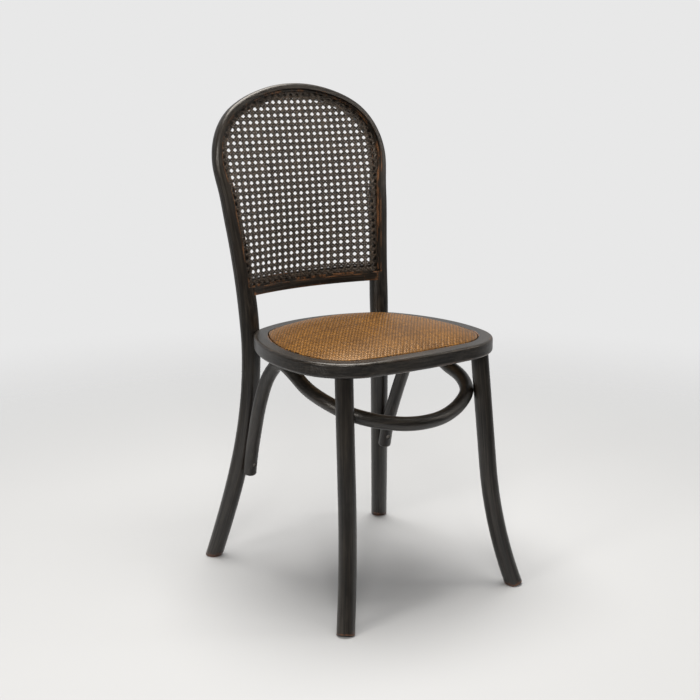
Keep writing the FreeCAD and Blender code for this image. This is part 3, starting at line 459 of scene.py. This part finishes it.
COLUMNS, ROWS = 15, 17
STEPS = 8
SLANT_STEPS = 10
for column in range(-COLUMNS, COLUMNS + 1):
    for way in (-1, 1):
        at = column + 0.5 + way * PAIR_HALF / HOLE_PITCH
        rows = [i / STEPS for i in range(-ROWS * STEPS, ROWS * STEPS + 1)]
        weave_strand([(at, row) for row in rows], [pair_wave(row, ROW_PITCH, -way) for row in rows],
                     STRAND_WIDE)
for row in range(-ROWS, ROWS + 1):
    for way in (-1, 1):
        at = row + 0.5 + way * PAIR_HALF / ROW_PITCH
        columns = [i / STEPS for i in range(-COLUMNS * STEPS, COLUMNS * STEPS + 1)]
        weave_strand([(column, at) for column in columns],
                     [pair_wave(column, HOLE_PITCH, way) for column in columns], STRAND_WIDE)
for start in range(-COLUMNS - ROWS, COLUMNS + ROWS + 1):
    for way in (-1, 1):
        columns = [i / SLANT_STEPS for i in range(-COLUMNS * SLANT_STEPS, COLUMNS * SLANT_STEPS + 1)]
        weave_strand([(column, way * (column - start) + 0.5) for column in columns],
                     [slant_wave(column, way) for column in columns], SLANT_WIDE)

cane_mesh = bpy.data.meshes.new("back_cane_weave")
cane_mesh.from_pydata([tuple(v) for v in cane_verts], [], cane_faces)
cane_mesh.polygons.foreach_set("use_smooth", [True] * len(cane_faces))
tone_layer = cane_mesh.attributes.new("strand_tone", "FLOAT", "POINT")
tone_layer.data.foreach_set("value", cane_tones)
cane_weave = bpy.data.objects.new("back_cane_weave", cane_mesh)
bpy.context.scene.collection.objects.link(cane_weave)

cane_stain = bpy.data.materials.new("stained_cane")
cane_stain.use_nodes = True
tree = cane_stain.node_tree
shader = tree.nodes["Principled BSDF"]
x, y, z = place_in_piece(tree)
place = gather(tree, x, y, z)
strand = add(tree, "ShaderNodeAttribute", attribute_name="strand_tone").outputs["Fac"]
flecks = speckle(tree, place, 330, 3.0, 0.7)
patches = speckle(tree, place, 34, 2.0, 0.5)
cane_tone = calc(tree, "ADD", calc(tree, "MULTIPLY", strand, 0.30),
                 calc(tree, "MULTIPLY", fade(tree, flecks, 0.42, 0.62), 0.65))
cane_colour = blend_colour(tree, cane_tone, (0.0040, 0.0030, 0.0025), (0.110, 0.085, 0.065))
rubbed = calc(tree, "MULTIPLY", fade(tree, flecks, 0.62, 0.72), fade(tree, patches, 0.45, 0.62))
cane_colour = blend_colour(tree, calc(tree, "MULTIPLY", rubbed, 0.8), cane_colour, (0.26, 0.125, 0.05))
join(tree, cane_colour, shader, "Base Color")
join(tree, calc(tree, "ADD", calc(tree, "MULTIPLY", flecks, 0.2), 0.26), shader, "Roughness")
finish_with(cane_weave, cane_stain)
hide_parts("back_cane_panel")
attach(cane_weave, "root")

# Strips that wedge the cane: split cane pressed over its edge, one round the arch and one along
# the rail, stained with the frame.

strip_stain = stained_wood("stained_cane_strip", gather, 1.4, 0.25)
for name in ("cane_strip_arch", "cane_strip_rail"):
    finish_with(nodes[name], strip_stain)

# Seat ring: one bent length of beech closed on itself, rounded outside, with a rim round the woven
# seat and a ledge below it.

RING_HALF = 0.207
RING_DEEP = 0.186
SEAT_MIDDLE_Y = -0.019
CORNER_POWER = 2.5
RING_MEAN = 0.196
RING_ROUND = 0.19


def ring_run(tree, x, y, z):
    """Round the ring: across it the distance from the middle, weighed like its squared plan."""
    ahead = calc(tree, "ADD", y, -SEAT_MIDDLE_Y)
    wide = calc(tree, "POWER", calc(tree, "DIVIDE", calc(tree, "ABSOLUTE", x), RING_HALF), CORNER_POWER)
    deep = calc(tree, "POWER", calc(tree, "DIVIDE", calc(tree, "ABSOLUTE", ahead), RING_DEEP),
                CORNER_POWER)
    reach = calc(tree, "POWER", calc(tree, "ADD", wide, deep), 1 / CORNER_POWER)
    turn = calc(tree, "ARCTAN2", ahead, x)
    return gather(tree, calc(tree, "MULTIPLY", reach, RING_MEAN), z,
                  calc(tree, "MULTIPLY", turn, RING_ROUND))


finish_with(nodes["seat_ring"], stained_wood("ring_stained_beech", ring_run, 2.2))

# Seat board: thin plywood, sawn to the opening. It lies on the ring's ledge, screwed from below, and
# carries the pad and the cover.

BOARD_FOOT = 0.4484
PLY_THICK = 0.0012

plywood = bpy.data.materials.new("seat_plywood")
plywood.use_nodes = True
tree = plywood.node_tree
shader = tree.nodes["Principled BSDF"]
x, y, z = place_in_piece(tree)
figure = speckle(tree, stretched(tree, gather(tree, x, y, z), 14, 220, 30), 1.0, 4.0, 0.6)
plies = calc(tree, "PINGPONG", calc(tree, "SUBTRACT", z, BOARD_FOOT), PLY_THICK)
ply_tone = calc(tree, "MULTIPLY", fade(tree, plies, 0.0005, 0.0007), 0.35)
veneer = blend_colour(tree, fade(tree, figure, 0.35, 0.65), (0.40, 0.25, 0.13), (0.62, 0.44, 0.26))
join(tree, blend_colour(tree, ply_tone, veneer, (0.30, 0.17, 0.08)), shader, "Base Color")
shader.inputs["Roughness"].default_value = 0.62
finish_with(nodes["seat_board"], plywood)

# Seat pad: a thin crowned pad of felted fibre, laid loose between the board and the cover, which
# holds it down all round.

FRONT_ARC, FRONT_CORNER, SIDE_ARC, BACK_CORNER, BACK_ARC = 0.980, 0.108, 0.305, 0.087, 0.280
RING_FRONT, RING_BACK, WIDEST_AHEAD = 0.205, 0.167, 0.054
CROWN_POWER = 3.2
BOARD_TOP = 0.4544
CROWN_TOP = 0.478
PAD_INSET = 0.0289
COVER_THICK = 0.0014
RELIEF_FADES_OVER = 1 / 40
EDGE_POINTS_PER_METRE = 500
FELT_LUMP = 0.0003
FELT_LUMP_SCALE = 90


def circle_meeting(c1, r1, c2, r2, way):
    """Where two circles cross, on the right, ahead (way -1) or behind (way 1)."""
    between = c2 - c1
    reach = between.length
    along = (r1 * r1 - r2 * r2 + reach * reach) / (2 * reach)
    off = math.sqrt(r1 * r1 - along * along)
    unit = between / reach
    side = Vector((-unit.y, unit.x)) * off
    return max(c1 + unit * along + side, c1 + unit * along - side, key=lambda point: way * point.y)


front_c = Vector((0, FRONT_ARC - RING_FRONT))
back_c = Vector((0, RING_BACK - BACK_ARC))
side_c = Vector((RING_HALF - SIDE_ARC, -WIDEST_AHEAD))
front_corner_c = circle_meeting(front_c, FRONT_ARC - FRONT_CORNER, side_c, SIDE_ARC - FRONT_CORNER, -1)
back_corner_c = circle_meeting(back_c, BACK_ARC - BACK_CORNER, side_c, SIDE_ARC - BACK_CORNER, 1)
SEAT_ARCS = [(front_c, FRONT_ARC), (front_corner_c, FRONT_CORNER), (side_c, SIDE_ARC),
             (back_corner_c, BACK_CORNER), (back_c, BACK_ARC)]


def seat_edge(inset, count):
    """Points of the seat's outline moved inward, all the way round from the front."""
    bearings = []
    for (c1, r1), (c2, r2) in zip(SEAT_ARCS, SEAT_ARCS[1:]):
        line = (c2 - c1) if r1 > r2 else (c1 - c2)
        bearings.append(math.atan2(line.y, line.x))
    spans = list(zip([-math.pi / 2] + bearings, bearings + [math.pi / 2]))
    half = []
    for (centre, radius), (start, end) in zip(SEAT_ARCS, spans):
        steps = max(2, int(count * (radius - inset) * (end - start)))
        for i in range(steps):
            turn = start + (end - start) * i / steps
            half.append(centre + Vector((math.cos(turn), math.sin(turn))) * (radius - inset))
    half.append(Vector((0, RING_BACK - inset)))
    return half + [Vector((-p.x, p.y)) for p in reversed(half[1:-1])]


def outline_reach(edge):
    """A function that gives the outline's distance from the seat's middle by bearing."""
    rows = sorted((math.atan2(p.y - SEAT_MIDDLE_Y, p.x), math.hypot(p.x, p.y - SEAT_MIDDLE_Y))
                  for p in edge)
    rows = [(rows[-1][0] - 2 * math.pi, rows[-1][1])] + rows + [(rows[0][0] + 2 * math.pi, rows[0][1])]

    def reach(turn):
        low, high = 0, len(rows) - 1
        while high - low > 1:
            middle = (low + high) // 2
            if rows[middle][0] <= turn:
                low = middle
            else:
                high = middle
        (a, ra), (b, rb) = rows[low], rows[high]
        return ra + (rb - ra) * (turn - a) / (b - a)

    return reach


def domed_sheet(name, inset, rim, top, step_x, step_y, relief, skirt):
    """A domed sheet over the outline, with a relief of its own and a turned-down edge.
    Grid points beyond the outline are drawn in to it, so the edge follows it smoothly. Each row
    of skirt is a step outward and a step down."""
    reach = outline_reach(seat_edge(inset, EDGE_POINTS_PER_METRE))
    columns, rows = int(RING_HALF / step_x) + 1, int(RING_FRONT / step_y) + 1
    mesh = bmesh.new()
    layer = mesh.verts.layers.float.new("strand_tone")
    # Each point also keeps how deep it lies in the weave; the rattan uses it for painted shade in the
    # hollows.
    weave_shade_depth = mesh.verts.layers.float.new("weave_shade_depth")
    grid = {}
    for j in range(-rows, rows + 1):
        for i in range(-columns, columns + 1):
            off = Vector((i * step_x, j * step_y))
            share = off.length / reach(math.atan2(off.y, off.x))
            grid[i, j] = (off / max(share, 1.0), share)
    made_at = {}

    def corner(key):
        """The grid's vertex, made when a face first needs it."""
        if key not in made_at:
            off, share = grid[key]
            lift, tone, deep = relief(off.x, off.y + SEAT_MIDDLE_Y)
            rise = rim + (top - rim) * (1 - min(share, 1.0) ** CROWN_POWER)
            lift *= max(0.0, min(1.0, (1 - share) / RELIEF_FADES_OVER))
            point = mesh.verts.new((off.x, off.y + SEAT_MIDDLE_Y, rise + lift))
            point[layer], point[weave_shade_depth] = tone, deep
            made_at[key] = point
        return made_at[key]

    for j in range(-rows, rows):
        for i in range(-columns, columns):
            keys = [(i, j), (i + 1, j), (i + 1, j + 1), (i, j + 1)]
            if any(grid[key][1] < 1 for key in keys):
                mesh.faces.new([corner(key) for key in keys])
    bmesh.ops.dissolve_degenerate(mesh, dist=2e-5, edges=mesh.edges)
    rim_edges = [e for e in mesh.edges if e.is_boundary]
    for out, down in skirt:
        made = bmesh.ops.extrude_edge_only(mesh, edges=rim_edges)
        for point in [g for g in made["geom"] if isinstance(g, bmesh.types.BMVert)]:
            off = Vector((point.co.x, point.co.y - SEAT_MIDDLE_Y)).normalized()
            point.co += Vector((off.x * out, off.y * out, -down))
        rim_edges = [g for g in made["geom"] if isinstance(g, bmesh.types.BMEdge)]
    bmesh.ops.recalc_face_normals(mesh, faces=mesh.faces)
    data = bpy.data.meshes.new(name)
    mesh.to_mesh(data)
    mesh.free()
    data.polygons.foreach_set("use_smooth", [True] * len(data.polygons))
    made = bpy.data.objects.new(name, data)
    bpy.context.scene.collection.objects.link(made)
    return made


def felt_relief(x, y):
    """Lumps of the felt; its tone and depth aren't used."""
    return FELT_LUMP * noise.noise(Vector((x * FELT_LUMP_SCALE, y * FELT_LUMP_SCALE, 0))), 0.5, 0.0


felt_pad = domed_sheet("seat_felt_pad", PAD_INSET, BOARD_TOP + 0.0006, CROWN_TOP - COVER_THICK - 0.0016,
                       0.005, 0.005, felt_relief, [(-0.001, 0.0005)])
felt = bpy.data.materials.new("fibre_felt")
felt.use_nodes = True
tree = felt.node_tree
shader = tree.nodes["Principled BSDF"]
x, y, z = place_in_piece(tree)
fibres = speckle(tree, gather(tree, x, y, z), 900, 5.0, 0.7)
join(tree, blend_colour(tree, fibres, (0.20, 0.15, 0.10), (0.45, 0.37, 0.28)), shader, "Base Color")
shader.inputs["Roughness"].default_value = 0.95
finish_with(felt_pad, felt)
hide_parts("seat_pad")
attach(felt_pad, "root")

# Woven cover of the seat: honey-coloured rattan in a close two-and-two twill, stretched over the
# pad and turned down inside the rim. Each strand passes over two and under two.

WARP_PITCH = 0.00343
WEFT_PITCH = 0.00437
COVER_RIM = BOARD_TOP + 0.0024
TWILL_LIFT = 0.00050
STRAND_CROWN = 0.00050
EDGE_DRAW = 0.0009
COVER_INSET = 0.0275
COVER_SKIRT = [(0.0006, 0.0005), (0.0003, 0.0010), (0.0, 0.0070)]
TONES = 160
STRAY = 0.0006
STRAY_SCALE = 9
SHARPEST_EDGE = 0.02
tone_rows = random.Random(23)
warp_tones = [tone_rows.uniform(0, 1) for _ in range(TONES)]
weft_tones = [tone_rows.uniform(0, 1) for _ in range(TONES)]


def twill_relief(x, y):
    """Height, tone and depth of the weave; warp strands run front to back, weft from side to side."""
    x += STRAY * noise.noise(Vector((x * STRAY_SCALE, y * STRAY_SCALE, 3.0)))
    y += STRAY * noise.noise(Vector((x * STRAY_SCALE, y * STRAY_SCALE, 7.0)))
    warp, weft = x / WARP_PITCH, y / WEFT_PITCH
    warp_index, weft_index = math.floor(warp), math.floor(weft)
    warp_round = 1 - (2 * (warp - warp_index) - 1) ** 2
    weft_round = 1 - (2 * (weft - weft_index) - 1) ** 2
    warp_wave = math.cos(math.pi / 2 * (weft - warp_index - 1.0))
    weft_wave = -math.cos(math.pi / 2 * (weft_index - warp))
    warp_up = TWILL_LIFT * warp_wave + STRAND_CROWN * math.sqrt(max(warp_round, SHARPEST_EDGE))
    weft_up = TWILL_LIFT * weft_wave + STRAND_CROWN * math.sqrt(max(weft_round, SHARPEST_EDGE))
    if warp_up > weft_up:
        tone = warp_tones[warp_index % TONES]
    else:
        tone = 0.15 + 0.8 * weft_tones[weft_index % TONES]
    top = max(warp_up, weft_up)
    depth = 1 - (top + TWILL_LIFT) / (2 * TWILL_LIFT + STRAND_CROWN)
    return top - TWILL_LIFT, tone, depth


twill_step = 0.00086
seat_weave = domed_sheet("seat_rattan_weave", COVER_INSET + EDGE_DRAW, COVER_RIM - 0.0003, CROWN_TOP,
                         twill_step, twill_step * 1.25, twill_relief, COVER_SKIRT)
rattan = bpy.data.materials.new("honey_rattan")
rattan.use_nodes = True
tree = rattan.node_tree
shader = tree.nodes["Principled BSDF"]
x, y, z = place_in_piece(tree)
place = gather(tree, x, y, z)
strand = add(tree, "ShaderNodeAttribute", attribute_name="strand_tone").outputs["Fac"]
valley_shade = add(tree, "ShaderNodeAttribute", attribute_name="weave_shade_depth").outputs["Fac"]
fibres = speckle(tree, stretched(tree, place, 900, 900, 300), 1.0, 3.0, 0.6)
patches = speckle(tree, place, 16, 3.0, 0.55)
honey_tone = calc(tree, "ADD", calc(tree, "MULTIPLY", strand, 0.5),
                  calc(tree, "MULTIPLY", fade(tree, fibres, 0.3, 0.7), 0.5))
honey = blend_colour(tree, honey_tone, (0.034, 0.013, 0.0025), (0.31, 0.145, 0.031))
honey = blend_colour(tree, calc(tree, "MULTIPLY", fade(tree, patches, 0.42, 0.66), 0.30), honey,
                     (0.060, 0.026, 0.008))
# Painted shade: the deeper the weave lies, the darker it is painted, standing in for shade between the
# strands.
honey = blend_colour(tree, calc(tree, "MULTIPLY", fade(tree, valley_shade, 0.06, 0.42), 0.93), honey,
                     (0.010, 0.004, 0.0015))
join(tree, honey, shader, "Base Color")
join(tree, calc(tree, "ADD", calc(tree, "MULTIPLY", fibres, 0.2), 0.24), shader, "Roughness")
shader.inputs["Specular Tint"].default_value = (1.0, 0.60, 0.26, 1)
finish_with(seat_weave, rattan)
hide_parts("seat_woven_cover")
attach(seat_weave, "root")

# Staples, screws, bolts and washers: plain steel gone dull. The staples hold the cover to the board,
# the bolts the ring to the rear legs, and the screws the board and the brace.

steel = bpy.data.materials.new("dull_steel")
steel.use_nodes = True
tree = steel.node_tree
shader = tree.nodes["Principled BSDF"]
x, y, z = place_in_piece(tree)
tarnish = speckle(tree, gather(tree, x, y, z), 420, 4.0, 0.65)
join(tree, blend_colour(tree, fade(tree, tarnish, 0.35, 0.7), (0.16, 0.14, 0.125), (0.42, 0.40, 0.38)),
     shader, "Base Color")
join(tree, calc(tree, "ADD", calc(tree, "MULTIPLY", tarnish, 0.3), 0.28), shader, "Roughness")
shader.inputs["Metallic"].default_value = 0.9
finish_with(nodes["cover_staples"], steel)
for name in ("seat_board_screws", "seat_bolts", "seat_bolt_washers", "brace_rear_screws",
             "brace_ring_screws", "brace_front_screws"):
    finish_with(nodes[name], steel)

# Front legs: round beech, straight under the ring and bent outward to the floor, each with a
# tenon glued up into the ring.

LEG_KNEE = 0.224
LEG_TOP = 0.434
LEG_LEAN = (0.0402, 0.1016)
LEG_FLARE = (0.44, 0.384)


def front_leg_run(tree, x, y, z):
    """Down the leg, with its lean and its flare below the knee taken out."""
    below = calc(tree, "MAXIMUM", calc(tree, "SUBTRACT", LEG_KNEE, z), 0.0)
    flare = calc(tree, "MULTIPLY", below, below)
    lean = calc(tree, "SUBTRACT", LEG_TOP, z)
    out_x = calc(tree, "ADD", calc(tree, "MULTIPLY", lean, LEG_LEAN[0]),
                 calc(tree, "MULTIPLY", flare, LEG_FLARE[0]))
    out_y = calc(tree, "ADD", calc(tree, "MULTIPLY", lean, LEG_LEAN[1]),
                 calc(tree, "MULTIPLY", flare, LEG_FLARE[1]))
    across = calc(tree, "SUBTRACT", calc(tree, "ABSOLUTE", x), out_x)
    return gather(tree, across, calc(tree, "ADD", y, out_y), z)


leg_wood = stained_wood("leg_stained_beech", front_leg_run)
for name in ("front_leg_right", "front_leg_left"):
    finish_with(nodes[name], leg_wood)

# Brace: one bent round rod of beech. It runs from one rear leg forward under the ring, round inside
# the front legs and back to the other rear leg, and is screwed to each of them.

END_SLOPE = (0.91, 0.42)
CURVE_BEHIND = 0.09
CURVE_STRETCH = 1.9
CURVE_REACH = 0.13


def brace_run(tree, x, y, z):
    """Behind, down the sloping ends; ahead, round the front curve."""
    side = calc(tree, "ABSOLUTE", x)
    slope = calc(tree, "ADD", calc(tree, "MULTIPLY", y, END_SLOPE[0]),
                 calc(tree, "MULTIPLY", z, END_SLOPE[1]))
    down = calc(tree, "SUBTRACT", calc(tree, "MULTIPLY", z, END_SLOPE[0]),
                calc(tree, "MULTIPLY", y, END_SLOPE[1]))
    ahead = calc(tree, "MINIMUM", calc(tree, "ADD", y, CURVE_BEHIND), 0.0)
    stretch = calc(tree, "MULTIPLY", calc(tree, "MULTIPLY", ahead, ahead), CURVE_STRETCH)
    reach = calc(tree, "SQRT", calc(tree, "ADD", calc(tree, "MULTIPLY", x, x), stretch))
    turn = calc(tree, "MULTIPLY", calc(tree, "ARCTAN2", ahead, x), CURVE_REACH)
    front = gather(tree, reach, z, calc(tree, "ADD", turn, y))
    rear = gather(tree, side, slope, down)
    made = add(tree, "ShaderNodeMix", data_type="VECTOR")
    tree.links.new(fade(tree, y, 0.0, 0.04), made.inputs[0])
    tree.links.new(front, made.inputs[4])
    tree.links.new(rear, made.inputs[5])
    return made.outputs[1]


finish_with(nodes["leg_brace"], stained_wood("brace_stained_beech", brace_run))
